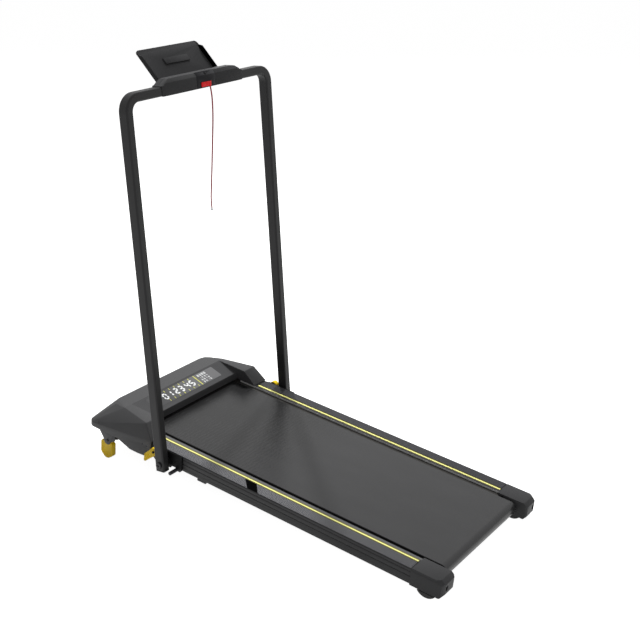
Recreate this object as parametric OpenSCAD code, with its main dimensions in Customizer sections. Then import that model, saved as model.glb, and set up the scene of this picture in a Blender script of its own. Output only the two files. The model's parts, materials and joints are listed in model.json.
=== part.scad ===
// Folding walking treadmill with a U-shaped handrail.
// +X is the user's right, +Y points to the front, +Z is up, all in millimetres.
// The deck is modelled level in its own frame (z = 0 on top of the side rails, y = 0 where
// the stripes end at the rear) and then tipped by the incline that its front legs give it.

/* [Deck] */
// Width of the running belt
belt_w = 392; // [320:2:460]
// Length from the rear end of the stripes to the lip of the motor hood
run_l = 956; // [780:2:1200]
// Thickness of the running belt
belt_t = 1.6; // [1.2:0.1:2.4]
// Thickness of the board under the belt
board_t = 12; // [10:0.5:13]
// Outer radius of both roller tubes
roller_r = 18.6; // [16:0.2:19]
// Width of the top of each side rail
rail_w = 56; // [54:1:80]
// Height of each side rail
rail_h = 46; // [46:1:54]
// Width of each coloured stripe
stripe_w = 10; // [6:0.5:12]

/* [Handrail] */
// Height of the crossbar's axis above the folding pivots
handrail_h = 1043; // [860:1:1260]
// Tube section across the treadmill
tube_x = 25; // [22:0.5:30]
// Tube section along the treadmill
tube_y = 32; // [28:0.5:36]
// Wall of the handrail tube
tube_wall = 1.6; // [1.2:0.1:2.5]
// Angle at which the handrail leans forward from the deck's normal
lean = 9.5; // [6:0.5:14]
// Radius of the shoulder bolts that the handrail folds on
pivot_r = 5; // [4:0.5:6]

/* [Console] */
// Half of the console housing's length
console_half = 168; // [150:2:190]
// Width of the tray
tray_w = 250; // [200:2:280]
// Length of the tray
tray_l = 121.5; // [100:1:150]
// Lean of the tray away from the user, from the uprights' direction
tray_lean = 41.3; // [30:0.1:50]

/* [Hood] */
// Height of the hood's flat top above the side rails
hood_h = 43; // [41:1:56]
// Wall of the hood
hood_t = 3; // [2:0.5:3.5]
// Height of the hood's lip above the side rails
lip_h = 24; // [18:1:28]

/* [Legs] */
// Width of each front leg's tongue
leg_w = 48; // [40:1:50]
// Distance from a front leg's pin to the floor
leg_drop = 64; // [54:1:80]
// Radius of the transport wheels
wheel_r = 22; // [18:0.5:22]

/* [Hidden] */
$fn = 48;
gap = 0.3;          // air between pieces that move past each other
fit = 0.05;         // radial clearance of a running fit

// ---- deck, across
half_belt = belt_w / 2;
rail_in = half_belt + 14;
rail_out = rail_in + rail_w;
rail_t = 2.7;
cap_in = half_belt + 8;
cap_out = rail_out + 3;
member_in = rail_in - 8;
member_out = rail_out - rail_t - 3.3;
member_top = -31;
member_h = 15;
member_bottom = member_top - member_h;
stripe_in = rail_in + 9.7;
grip_in = stripe_in + stripe_w + 2.2;
grip_out = rail_out - 2;
inlay_t = 0.9;

// ---- deck, along and up
belt_top = -4;
loop_gap = 0.3;
roller_z = belt_top - belt_t - loop_gap - roller_r;
board_top = belt_top - belt_t - loop_gap;
board_bottom = board_top - board_t;
rear_roller_y = -48;
front_roller_y = run_l + 29;
roller_half = half_belt + 2;
axle_r = 6;
bearing_r = 14;
bearing_w = 11;
rail_front = run_l - 16;
bolt_x = rail_in + 34;
member_rear = -21;
member_front = run_l + 2;
cap_rear = -98;
cap_front = -4;
cap_bottom = -50;
cap_t = 3;

// ---- rear foot and incline
foot_r = 33;
foot_y = -53;
foot_drop = 62.6;
foot_x = (cap_in + cap_out) / 2;
foot_stud_r = 7;
pin_y = run_l + 131;
pin_z = -90;
leg_y = pin_y + 5;
leg_foot_z = pin_z - leg_drop;
incline = atan((-leg_foot_z - foot_drop) / (leg_y - foot_y));
floor_shift = -(foot_y * sin(incline) - foot_drop * cos(incline));

// ---- hood
hood_half = rail_out + 4;
arm_end = run_l - 72;
arm_top_y = run_l - 38;
arm_top_half = rail_out - 11;
ridge_y = run_l + 146;
ridge_half = rail_out - 38;
ridge_z = hood_h - 11;
ridge_r = 46;
crease_y = run_l + 72;
nose_y = run_l + 187;
nose_top = -24;
nose_bottom = -42;
nose_r = 26;
skirt_bottom = -58;
foot_in = half_belt + 16;
screw_spots = [[run_l + 145, -20], [run_l - 38, -19], [run_l - 54, -20]];
panel_w = 305;
panel_l = 48;
panel_y = 18;
pan_top = -40;
pan_t = 2.5;
inlet_x = 96;
switch_x = 138;
socket_z = -33;

// ---- row frame: middle of the length between the caps' rear faces and the hood's nose
rear_most = cap_rear * cos(incline) + 10 * sin(incline);
front_most = nose_y * cos(incline) - nose_bottom * sin(incline);
mid_y = (rear_most + front_most) / 2;

// ---- handrail
pivot_y = run_l - 137;
pivot_z = -34;
plate_t = 4;
plate_in = rail_out + 0.3;
upright_in = rail_out + 14;
upright_x = upright_in + tube_x / 2;
bend_r = 37.5;
corner_r = 5;
plug_drop = 20;
peg_r = 5.5;
fold_angle = 95;
fold_rise = 90 + lean - fold_angle;
peg_y = pivot_y - 31;
peg_z = pivot_z + (pivot_y - peg_y) * tan(fold_rise) - (tube_y / 2 + peg_r + 0.2) / cos(fold_rise);
lever_y = pivot_y + 37;
lever_z = -12;
lever_hub_r = 12.5;
lever_pin_r = 4;
lever_rake = 43;

// ---- console, in the handrail's frame: y forward, z along the uprights
bar_top = handrail_h + tube_x / 2;
bar_bottom = handrail_h - tube_x / 2;
face_y = -tube_y / 2 - 2.4;
back_y = tube_y / 2 + 3;
console_bottom = bar_bottom - 0.6;
console_top = bar_top + 18.5;
shoulder_z = console_top - 10;
module_x0 = -29;
module_x1 = 46;
key_x0 = -12;
key_x1 = 27;
key_h = 13;
key_proud = 4.5;
key_z = console_bottom + 3.2;
eye_x = 21;
eye_y = face_y - 2.8;
eye_z = key_z - 0.6;
eye_r = 1.9;
button_r = 3.5;
button_x = 10;
hinge_y = back_y + 11;
hinge_z = bar_top - 5.5;
hinge_r = 5;
hinge_pin_r = 2.5;
ear_xs = [-70, 70];
wall_d = 9;

// ---- drive
motor_r = 36;
motor_y = run_l + 96;
motor_z = -2;
motor_x0 = 22;
motor_x1 = 182;
pulley_x0 = half_belt + 6;
pulley_w = 14;
roller_pulley_r = 20;
motor_pulley_r = 11;
drive_belt_t = 1.6;

// ---- legs and wheels
leg_t = 15;
leg_out = rail_out - 23;
fork_t = 3;
wheel_w = 15;
wheel_y = pin_y + 17;
wheel_z = -69;

// ---- lanyard: offsets from its eye on the key, in the row's directions
lanyard_r = 0.9;
lanyard_pts = [[0, 0, 0], [1, -1, -6], [3, -4, -34], [4, -5, -80], [2, -5, -136],
    [0, -4, -194], [-2, -3, -252], [-5, -3, -295], [-7, -4, -324], [-5.5, -5, -347]];
lanyard_sides = 8;
lanyard_steps = 7;

// ================================================================ frames

// from the row frame into the tipped deck's own frame
module deck() {
    translate([0, -mid_y, floor_shift]) rotate([incline, 0, 0]) children();
}

// from the row frame into the handrail's frame, its origin on the folding axis
module handrail() {
    deck() translate([0, pivot_y, pivot_z]) rotate([-lean, 0, 0]) children();
}

// from the row frame into the tray's frame, its origin on the tilting axis
module tray_frame() {
    handrail() translate([0, hinge_y, hinge_z]) rotate([-tray_lean, 0, 0]) children();
}

// one side: s is -1 on the left and 1 on the right
module side(s) {
    if (s < 0) mirror([1, 0, 0]) children();
    else children();
}

module both_sides() {
    for (s = [-1, 1]) side(s) children();
}

// ================================================================ shapes

module block(x, y, z) {
    translate([x[0], y[0], z[0]]) cube([x[1] - x[0], y[1] - y[0], z[1] - z[0]]);
}

// a rod along X
module rod(r, x0, x1, y = 0, z = 0) {
    translate([x0, y, z]) rotate([0, 90, 0]) cylinder(r = r, h = x1 - x0);
}

// extrudes a (y, z) outline along X
module along_x(x0, x1) {
    translate([x0, 0, 0]) rotate([90, 0, 90]) linear_extrude(x1 - x0) children();
}

// extrudes an (x, z) outline along Y
module along_y(y0, y1) {
    translate([0, y1, 0]) rotate([90, 0, 0]) linear_extrude(y1 - y0) children();
}

// rectangle about the origin with round corners
module round_rect(w, h, r) {
    square([w - 2 * r, h], center = true);
    square([w, h - 2 * r], center = true);
    for (x = [-1, 1], y = [-1, 1]) translate([x * (w / 2 - r), y * (h / 2 - r)]) circle(r);
}

// ================================================================ deck frame

module side_member(s) {
    color("#2b2c2e") deck() side(s) difference() {
        block([member_in, member_out], [member_rear, member_front], [member_bottom, member_top]);
        block([member_in + 1.8, member_out - 1.8], [member_rear - 1, member_front + 1],
            [member_bottom + 1.8, member_top - 1.8]);
    }
}

module crossmember(y, half) {
    color("#1e1f20") deck() difference() {
        block([-half, half], [y - 15, y + 15], [member_bottom - 12, member_bottom]);
        block([2 - half, half - 2], [y - 13.4, y + 13.4],
            [member_bottom - 10.4, member_bottom - 1.6]);
    }
}

module rear_crossmember() {
    crossmember(run_l * 0.19, member_out - 22);
}

module mid_crossmember() {
    crossmember(run_l * 0.73, member_out);
}

// steel blocks on the members' rear ends, slotted for the axle and drilled for the bolts
module roller_blocks() {
    color("#3a3b3d") deck() both_sides() difference() {
        block([cap_in + cap_t + gap, member_out], [rear_roller_y - 17, member_rear],
            [member_bottom, roller_z + 14]);
        block([member_in, rail_in + 41], [rear_roller_y - 11, rear_roller_y + 12],
            [roller_z - axle_r - fit, roller_z + axle_r + fit]);
        translate([bolt_x, rear_roller_y - 40, roller_z]) rotate([-90, 0, 0])
            cylinder(r = 4.1, h = 60);
    }
}

module running_board() {
    color("#4a3a2a") deck() difference() {
        block([-rail_in - 12, rail_in + 12], [-12, run_l + 6], [board_bottom, board_top]);
        translate([0, -12, board_top]) rotate([45, 0, 0]) cube([belt_w * 2, 3, 3], center = true);
    }
}

module board_cushions() {
    color("#171717") deck() both_sides() for (i = [0 : 3])
        translate([rail_in + 1, 40 + i * (run_l - 80) / 3, member_top])
            cylinder(r = 9, h = board_bottom - member_top);
}

// a closed loop about two rollers of radius r, as a (y, z) outline
module loop(r) {
    translate([rear_roller_y, roller_z]) circle(r, $fn = 96);
    translate([front_roller_y, roller_z]) circle(r, $fn = 96);
    translate([rear_roller_y, roller_z - r]) square([front_roller_y - rear_roller_y, 2 * r]);
}

module running_belt() {
    color("#515152") deck() along_x(-half_belt, half_belt) difference() {
        loop(roller_r + loop_gap + belt_t);
        loop(roller_r + loop_gap);
    }
}

// ================================================================ rollers

module roller_tube(y) {
    translate([0, y, roller_z]) difference() {
        rod(roller_r, -roller_half, roller_half, $fn = 96);
        rod(bearing_r + 2, -roller_half + bearing_w, roller_half - bearing_w, $fn = 64);
        rod(bearing_r, -roller_half - 1, roller_half + 1, $fn = 64);
    }
}

module roller_bearings(y) {
    translate([0, y, roller_z]) both_sides() difference() {
        rod(bearing_r, roller_half - bearing_w, roller_half, $fn = 64);
        rod(axle_r + fit, roller_half - bearing_w - 1, roller_half + 1);
        rotate([0, 90, 0]) translate([0, 0, roller_half - 1]) difference() {
            cylinder(r = 12, h = 2);
            cylinder(r = 8, h = 4, center = true);
        }
    }
}

module rear_roller() {
    color("#9a9c9e") deck() roller_tube(rear_roller_y);
}

module rear_roller_bearings() {
    color("#c4c6c8") deck() roller_bearings(rear_roller_y);
}

// the axle has a tapped cross hole at each end for a tension bolt
module rear_roller_axle() {
    color("#b9babc") deck() difference() {
        rod(axle_r, -rail_in - 40, rail_in + 40, rear_roller_y, roller_z);
        for (s = [-1, 1]) translate([s * bolt_x, rear_roller_y, roller_z]) rotate([90, 0, 0])
            cylinder(r = 4 + fit, h = 30, center = true);
    }
}

module tension_bolts() {
    color("#8e9092") deck() both_sides() translate([bolt_x, 0, roller_z]) rotate([90, 0, 0]) {
        translate([0, 0, -rear_roller_y - 9]) cylinder(r = 4, h = 27);
        translate([0, 0, -rear_roller_y + 18]) difference() {
            cylinder(r = 6.5, h = 8);
            translate([0, 0, 3]) cylinder(r = 3.4, h = 6, $fn = 6);
        }
    }
}

// the drive pulley is keyed to the right end of the front roller
module front_roller() {
    color("#9a9c9e") deck() {
        roller_tube(front_roller_y);
        translate([0, front_roller_y, roller_z]) difference() {
            union() {
                rod(roller_pulley_r, pulley_x0, pulley_x0 + pulley_w, $fn = 72);
                for (x = [pulley_x0 - 1.2, pulley_x0 + pulley_w])
                    rod(roller_pulley_r + drive_belt_t + 0.8, x, x + 1.2, $fn = 72);
                rod(17, roller_half, pulley_x0, $fn = 64);
            }
            rod(bearing_r, roller_half - 1, pulley_x0 + pulley_w + 4, $fn = 64);
        }
    }
}

module front_roller_bearings() {
    color("#c4c6c8") deck() roller_bearings(front_roller_y);
}

module front_roller_axle() {
    color("#b9babc") deck() rod(axle_r, -rail_in - 30, rail_in + 30, front_roller_y, roller_z);
}

// ================================================================ side rails

// hollow extrusion: flat top with two inlay channels, grooved outer wall
module side_rail(s) {
    color("#3b3c3e") deck() side(s) difference() {
        along_y(cap_front, rail_front) rail_section();
        rod(pivot_r + fit, rail_out - 5, rail_out + 1, pivot_y, pivot_z);
    }
}

module rail_section() {
    difference() {
        union() {
            translate([rail_in, -rail_t]) square([rail_w - 4, rail_t]);
            intersection() {
                translate([rail_out - 4, -4]) circle(4);
                translate([rail_out - 4, -4]) square(4);
            }
            translate([rail_out - rail_t, -rail_h]) square([rail_t, rail_h - 4]);
            translate([rail_in, -5]) square([2.2, 5]);
        }
        translate([stripe_in - 0.1, -inlay_t]) square([stripe_w + 0.2, 2]);
        translate([grip_in - 0.1, -inlay_t]) square([grip_out - grip_in + 0.2, 2]);
        for (z = [-11, -25]) translate([rail_out - 1.1, z]) square([2, 3]);
    }
}

module stripe(s) {
    color("#eef09a") deck() side(s)
        block([stripe_in, stripe_in + stripe_w], [0, run_l - 80], [-inlay_t, 0]);
}

module grip_strip(s) {
    color("#646467") deck() side(s)
        block([grip_in, grip_out], [0, run_l - 80], [-inlay_t, 0.3]);
}

// ================================================================ rear ends

// moulded cap: plan, side and end outlines together cut its chamfered corners
module end_cap(s) {
    color("#313234") deck() side(s) difference() {
        cap_block(0);
        intersection() {
            translate([0, cap_t, 0]) cap_block(cap_t);
            block([cap_in - 1, cap_out + 1], [cap_rear + cap_t, cap_front + 1],
                [member_bottom - fit, 3]);
        }
        // the member and the board reach in past the inner wall
        block([cap_in - 1, cap_in + cap_t + 1], [member_rear - gap, cap_front + 1],
            [member_bottom - fit, board_top + gap]);
        // slot in the inner wall for the roller's axle
        block([cap_in - 1, cap_in + cap_t + 1], [rear_roller_y - 9, rear_roller_y + 9],
            [cap_bottom - 1, roller_z + 9]);
        // round-ended window to the tension bolt
        translate([bolt_x, cap_rear - 1, roller_z]) rotate([-90, 0, 0]) linear_extrude(6) {
            translate([0, 3]) circle(5.2);
            translate([0, -3]) circle(5.2);
            square([10.4, 6], center = true);
        }
        // hole for the rubber foot's stud
        translate([foot_x, foot_y, cap_bottom - 1]) cylinder(r = foot_stud_r + fit, h = 6);
    }
}

module cap_block(wall) {
    x0 = cap_in + wall;
    x1 = cap_out - wall;
    y0 = cap_rear;
    y1 = cap_front;
    z0 = cap_bottom;
    z1 = 0.8 - wall;
    intersection() {
        translate([0, 0, z0 - 20]) linear_extrude(100) polygon([[x0, y1], [x0, y0 + 5], [x0 + 5, y0],
            [x1 - 18, y0], [x1 - 6, y0 + 6], [x1, y0 + 17], [x1, y1]]);
        along_x(x0, x1) polygon([[y1, z0], [y0 + 8, z0], [y0, z0 + 9], [y0, z1 - 10],
            [y0 + 12, z1], [y1, z1]]);
        along_y(y0, y1) polygon([[x0, z0], [x0, z1], [x1 - 5, z1], [x1, z1 - 6], [x1, z0 + 3],
            [x1 - 3, z0]]);
        // slanted cut across the outer top corner
        translate([x1 - 5, y0 + 22, z1]) rotate([0, 50, -45]) translate([-100, -100, -150])
            cube([200, 200, 150]);
    }
}

// rubber segment below the cap, with a stud in it and a flat where it stands on the floor
module rear_foot(s) {
    color("#141415") difference() {
        deck() side(s) union() {
            intersection() {
                translate([0, foot_y, foot_r - foot_drop]) rod(foot_r, cap_in + 1, cap_out, $fn = 96);
                block([0, cap_out], [cap_rear, cap_front], [-foot_drop - 10, cap_bottom]);
            }
            translate([foot_x, foot_y, cap_bottom - 1]) cylinder(r = foot_stud_r, h = 4);
        }
        translate([0, 0, -50]) cube([4 * cap_out, 3 * run_l, 100], center = true);
    }
}

// ================================================================ motor bay

// pressed steel floor with cheeks that bolt to the side members and carry the front axle
module motor_pan() {
    w = member_out + 2.8;
    color("#232425") deck() difference() {
        union() {
            difference() {
                translate([0, 0, pan_top - pan_t]) linear_extrude(pan_t) polygon([[-w, run_l + 6],
                    [w, run_l + 6], [w, nose_y - 24], [w - 16, nose_y - 8],
                    [16 - w, nose_y - 8], [-w, nose_y - 24]]);
                block([-pulley_x0 - 18, pulley_x0 + 18], [run_l, front_roller_y + 24],
                    [pan_top - 5, pan_top + 1]);
            }
            difference() {
                block([20 - w, w - 20], [nose_y - 10.5, nose_y - 8], [pan_top - 1, pan_top + 12]);
                block([inlet_x - 11.3, inlet_x + 11.3], [nose_y - 12, nose_y], [pan_top, pan_top + 20]);
            }
            both_sides() {
                block([member_out + gap, w], [run_l - 56, nose_y - 60],
                    [member_bottom + 2, -16]);
                block([rail_in + 22, rail_in + 26], [front_roller_y - 16, front_roller_y + 16],
                    [pan_top - 1, roller_z + 14]);
            }
        }
        rod(axle_r + fit, -rail_in - 40, rail_in + 40, front_roller_y, roller_z);
        for (x = [-180 : 45 : 180]) for (y = [run_l + 150, run_l + 165])
            translate([x, y, pan_top]) linear_extrude(20, center = true) {
                translate([-9, 0]) circle(2.5);
                translate([9, 0]) circle(2.5);
                square([18, 5], center = true);
            }
    }
}

module motor_cradle() {
    color("#2f3032") deck() difference() {
        union() for (x = [motor_x0 + 14, motor_x1 - 34])
            block([x, x + 20], [motor_y - 26, motor_y + 26], [pan_top, motor_z - 12]);
        rod(motor_r + fit, motor_x0 - 1, motor_x1 + 1, motor_y, motor_z, $fn = 96);
    }
}

// can with end bells, cooling slots and a bore for the rotor's shaft
module motor_body() {
    color("#1b1c1e") deck() translate([0, motor_y, motor_z]) difference() {
        union() {
            rod(motor_r, motor_x0 + 8, motor_x1 - 8, $fn = 96);
            rod(motor_r - 3, motor_x0, motor_x1, $fn = 96);
            rod(14, motor_x0 - 4, motor_x1 + 4);
        }
        rod(5 + fit, motor_x0 - 10, motor_x1 + 10);
        for (a = [0 : 30 : 330]) rotate([a, 0, 0])
            block([motor_x1 - 14, motor_x1 + 1], [-2.5, 2.5], [20, 29]);
    }
}

module motor_rotor() {
    color("#a8aaac") deck() translate([0, motor_y, motor_z]) {
        rod(5, motor_x0 - 26, pulley_x0 + pulley_w + 3);
        // flywheel
        difference() {
            rod(31, motor_x0 - 22, motor_x0 - 8, $fn = 96);
            rod(25, motor_x0 - 23, motor_x0 - 17, $fn = 96);
        }
        rod(10, motor_x0 - 22, motor_x0 - 8);
        // pulley
        rod(motor_pulley_r, pulley_x0, pulley_x0 + pulley_w);
        for (x = [pulley_x0 - 1.2, pulley_x0 + pulley_w])
            rod(motor_pulley_r + drive_belt_t + 0.8, x, x + 1.2);
    }
}

// outline about both pulleys with a margin m, joined by their outer tangents
module drive_loop(m) {
    d = [motor_y - front_roller_y, motor_z - roller_z];
    len = norm(d);
    turn = atan2(d[1], d[0]);
    r0 = roller_pulley_r + m;
    r1 = motor_pulley_r + m;
    a = acos((r0 - r1) / len);
    translate([front_roller_y, roller_z]) rotate(turn) {
        circle(r0, $fn = 96);
        translate([len, 0]) circle(r1, $fn = 96);
        polygon([r0 * [cos(a), sin(a)], r0 * [cos(a), -sin(a)],
            [len, 0] + r1 * [cos(a), -sin(a)], [len, 0] + r1 * [cos(a), sin(a)]]);
    }
}

module drive_belt() {
    color("#111111") deck() along_x(pulley_x0 + 0.6, pulley_x0 + pulley_w - 0.6) difference() {
        drive_loop(gap + drive_belt_t);
        drive_loop(gap);
    }
}

module controller() {
    color("#26331f") deck() {
        block([-190, -50], [run_l + 62, run_l + 140], [pan_top, pan_top + 5]);
        block([-184, -150], [run_l + 66, run_l + 92], [pan_top + 5, pan_top + 26]);
        for (i = [0 : 2])
            translate([-130 + i * 24, run_l + 80, pan_top + 5]) cylinder(r = 9, h = 28);
    }
}

module heat_sink() {
    color("#b4b6b8") deck() {
        block([-184, -60], [run_l + 104, run_l + 136], [pan_top + 5, pan_top + 9]);
        for (i = [0 : 8])
            block([-184 + i * 15.2, -182 + i * 15.2], [run_l + 104, run_l + 136],
                [pan_top + 9, pan_top + 34]);
    }
}

// appliance inlet: a deep oval mouth with two round contacts
module power_inlet() {
    color("#151515") deck() translate([inlet_x, nose_y - 0.4, socket_z]) {
        difference() {
            block([-11, 11], [-19, 0], [-6.5, 6.5]);
            rotate([90, 0, 0]) translate([0, 0, -1]) linear_extrude(15) round_rect(16.6, 9, 4.4);
        }
        for (x = [-4.3, 4.3]) translate([x, -5, 0]) rotate([90, 0, 0])
            cylinder(r = 1.2, h = 10);
    }
}

// rocker, shown in its off position
module power_switch() {
    k = tan(23.6);
    color("#1d1d1f") deck() translate([switch_x, nose_y - 12.4, socket_z]) rotate([-6, 0, 0])
        along_x(-9, 9) intersection() {
            circle(12.5, $fn = 96);
            polygon([[4.9, -4.9 * k], [14, -14 * k], [14, 14 * k], [4.9, 4.9 * k]]);
        }
}

// ================================================================ hood

// corner spheres of the hood's outer form, moved inwards by m
module hood_form(m) {
    k = 5;
    hull() {
        for (s = [-1, 1]) {
            // arms' rear end: top edge and foot
            translate([s * (arm_top_half - k - m), arm_top_y + k + m, hood_h - k - m])
                sphere(k, $fn = 20);
            translate([s * (hood_half - 2 - m), arm_end + 2 + m, 0]) cylinder(r = 2, h = 1, $fn = 16);
            translate([s * (hood_half - 2 - m), arm_end + 2 + m, skirt_bottom])
                cylinder(r = 2, h = 1, $fn = 16);
            // where the flat top starts to fall
            translate([s * (ridge_half + 8 - k - m), crease_y + 4, hood_h - k - m]) sphere(k, $fn = 20);
            // front ridge, its corners rounded in plan
            for (a = [0, 30, 60, 90]) translate([s * (ridge_half - ridge_r + 2 - m) +
                s * (ridge_r - 16) * cos(a), ridge_y - ridge_r - m + (ridge_r - 16) * sin(a),
                ridge_z - 16 - m]) sphere(16, $fn = 32);
            // nose
            translate([s * (hood_half - nose_r - m), nose_y - nose_r - m, nose_bottom - 16])
                cylinder(r = nose_r, h = nose_top - nose_bottom + 12, $fn = 48);
            translate([s * (hood_half - nose_r - m), nose_y - nose_r - m, nose_top - 4])
                cylinder(r1 = nose_r, r2 = nose_r - 4, h = 4, $fn = 48);
        }
    }
}

// everything in front of the lip and above the slanted panel, moved by m into the hood
module notch(m) {
    slope = (hood_h - lip_h) / (crease_y - run_l);
    top = half_belt + 6 + m;
    foot = half_belt + 16 + m;
    intersection() {
        along_x(-foot, foot) polygon([[arm_end - 20, -90], [run_l + m, -90], [run_l + m, lip_h - m],
            [crease_y + 60, hood_h + 60 * slope - m], [arm_end - 20, 140]]);
        along_y(arm_end - 30, crease_y + 80)
            polygon([[-foot, -90], [foot, -90], [foot, 0], [top, hood_h - 2], [top, 140],
                [-top, 140], [-top, hood_h - 2], [-foot, 0]]);
    }
}

module hood() {
    color("#48494b") deck() difference() {
        hood_form(0);
        notch(0);
        // hollow inside
        difference() {
            hood_form(hood_t);
            notch(hood_t);
        }
        // open floor, with the skirt's stepped lower edge
        along_x(-hood_half - 1, hood_half + 1)
            polygon([[nose_y + 1, -90], [nose_y + 1, nose_bottom], [run_l + 64, nose_bottom],
                [run_l + 12, skirt_bottom], [run_l - 20, skirt_bottom],
                [arm_end - 1, skirt_bottom + 5], [arm_end - 1, -90]]);
        // room for the rails, the belt and the axle below the arms and the lip
        block([-rail_out - gap, rail_out + gap], [arm_end - 10, rail_front + gap], [-90, gap]);
        block([-foot_in - 4, foot_in + 4], [run_l - 20, run_l + 6 + gap], [-90, 0]);
        // sockets in the nose
        block([inlet_x - 11.2, inlet_x + 11.2], [nose_y - 12, nose_y + 1],
            [socket_z - 6.7, socket_z + 6.7]);
        block([switch_x - 9.3, switch_x + 9.3], [nose_y - 12, nose_y + 1],
            [socket_z - 6.4, socket_z + 6.4]);
        // seat of the display panel
        panel_frame() translate([0, panel_l / 2 + panel_y, 0.5])
            cube([panel_w + 0.4, panel_l + 0.4, 3], center = true);
        both_sides() for (p = screw_spots)
            rod(3.4, hood_half - 1.6, hood_half + 2, p[0], p[1]);
    }
}

// frame on the slanted panel: y runs up the slope from the lip
module panel_frame() {
    translate([0, run_l, lip_h]) rotate([atan((hood_h - lip_h) / (crease_y - run_l)), 0, 0]) children();
}

module display_panel() {
    color("#6c6d6f") deck() panel_frame() translate([0, panel_y + panel_l / 2, -0.9])
        linear_extrude(1.1) round_rect(panel_w, panel_l, 3);
}

module hood_screws() {
    color("#101011") deck() both_sides() for (p = screw_spots) difference() {
        rod(3.2, hood_half - 1.5, hood_half - 0.2, p[0], p[1]);
        rod(1.6, hood_half - 0.9, hood_half + 1, p[0], p[1], $fn = 6);
    }
}

// ================================================================ pivots

// plate on the rail's side with bosses for the folding pivot and the lever
module pivot_bracket(s) {
    color("#1a1a1c") deck() side(s) difference() {
        union() {
            along_x(plate_in, plate_in + plate_t) polygon([[pivot_y - 54, -1],
                [pivot_y - 54, 2 - rail_h], [pivot_y - 18, 2 - rail_h], [pivot_y - 12, -rail_h - 6],
                [pivot_y + 44, -rail_h - 6], [pivot_y + 60, -40], [pivot_y + 60, -8],
                [pivot_y + 50, -1]]);
            rod(13, plate_in, upright_in - gap, pivot_y, pivot_z);
            rod(9, plate_in, upright_in - 4, lever_y, lever_z);
            rod(lever_pin_r, plate_in, upright_in + 13, lever_y, lever_z);
        }
        rod(pivot_r + fit, plate_in - 1, upright_in + 1, pivot_y, pivot_z);
    }
}

// rods in lugs under the side members, where the folded handrail comes to rest
module rest_pegs() {
    color("#0f0f10") deck() both_sides() {
        rod(peg_r, member_out - 18, upright_in + 14, peg_y, peg_z);
        difference() {
            block([member_out - 14, member_out], [peg_y - 9, peg_y + 9],
                [peg_z - peg_r - 2, member_bottom]);
            rod(peg_r, member_out - 20, member_out + 1, peg_y, peg_z);
        }
    }
}

// shoulder bolts: hex-socket head outside, thin nut inside the rail's wall
module pivot_bolts() {
    color("#2c2d2f") deck() both_sides() difference() {
        union() {
            rod(9, member_out + 0.2, rail_out - rail_t - 0.1, pivot_y, pivot_z, $fn = 6);
            rod(pivot_r, member_out + 0.2, upright_in + tube_x + gap, pivot_y, pivot_z);
            rod(9.5, upright_in + tube_x + gap, upright_in + tube_x + 4.3, pivot_y, pivot_z);
        }
        rod(3.6, upright_in + tube_x + 1.5, upright_in + tube_x + 6, pivot_y, pivot_z, $fn = 6);
    }
}

// coloured lever: round hub and a flat blade with a raked end and a finger groove
module lock_lever(s) {
    x0 = upright_in - 3.6;
    x1 = upright_in + 10.4;
    color("#d0b428") deck() side(s) translate([0, lever_y, lever_z]) difference() {
        union() {
            rod(lever_hub_r, x0, x1);
            rotate([-lever_rake, 0, 0]) along_x(x0 + 1, x1 - 1) polygon([[0, -12], [20, -10.5],
                [51, -10.5], [56, -8], [55, -4], [41, 8.5], [35, 10.5], [20, 10.5], [0, 12]]);
        }
        rod(lever_pin_r + fit, x0 - 1, x1 + 1);
        rotate([-lever_rake, 0, 0]) for (u = [24 : 8 : 40])
            block([x1 - 2, x1 + 1], [u, u + 3], [-7, 5]);
    }
}

// ================================================================ front legs

// three cheeks under one flange: the leg swings in the outer pair, the wheel in the inner pair
module leg_brackets() {
    color("#1c1c1e") deck() both_sides() difference() {
        union() {
            block([leg_in(2), leg_out], [pin_y - 38, pin_y + 38], [pan_top - pan_t - 3, pan_top - pan_t]);
            for (x = [leg_out - fork_t, leg_in(1), leg_in(2)]) along_x(x, x + fork_t) cheek();
        }
        rod(4, leg_in(2) - 1, leg_out + 1, pin_y, pin_z);
        rod(3, leg_in(2) - 1, leg_in(1) + fork_t + 1, wheel_y, wheel_z);
    }
}

function leg_in(i) = i == 1 ? leg_out - 2 * fork_t - leg_t - 2 * gap
    : leg_out - 3 * fork_t - leg_t - wheel_w - 4 * gap;

module cheek() {
    top = pan_top - pan_t;
    translate([pin_y, pin_z]) circle(14);
    polygon([[pin_y - 37, top], [pin_y - 34, top - 10], [pin_y - 28, pin_z + 8],
        [pin_y - 22, pin_z + 2], [pin_y - 14, pin_z], [pin_y + 14, pin_z], [pin_y + 19, pin_z + 8],
        [wheel_y + 8, wheel_z - 6], [pin_y + 34, top - 20], [pin_y + 37, top]]);
}

module leg_pins() {
    color("#8a8c8e") deck() both_sides() {
        rod(4 - fit, leg_in(2) - 2, leg_out + 2, pin_y, pin_z);
        rod(3 - fit, leg_in(2) - 2, leg_in(1) + fork_t, wheel_y, wheel_z);
    }
}

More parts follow.
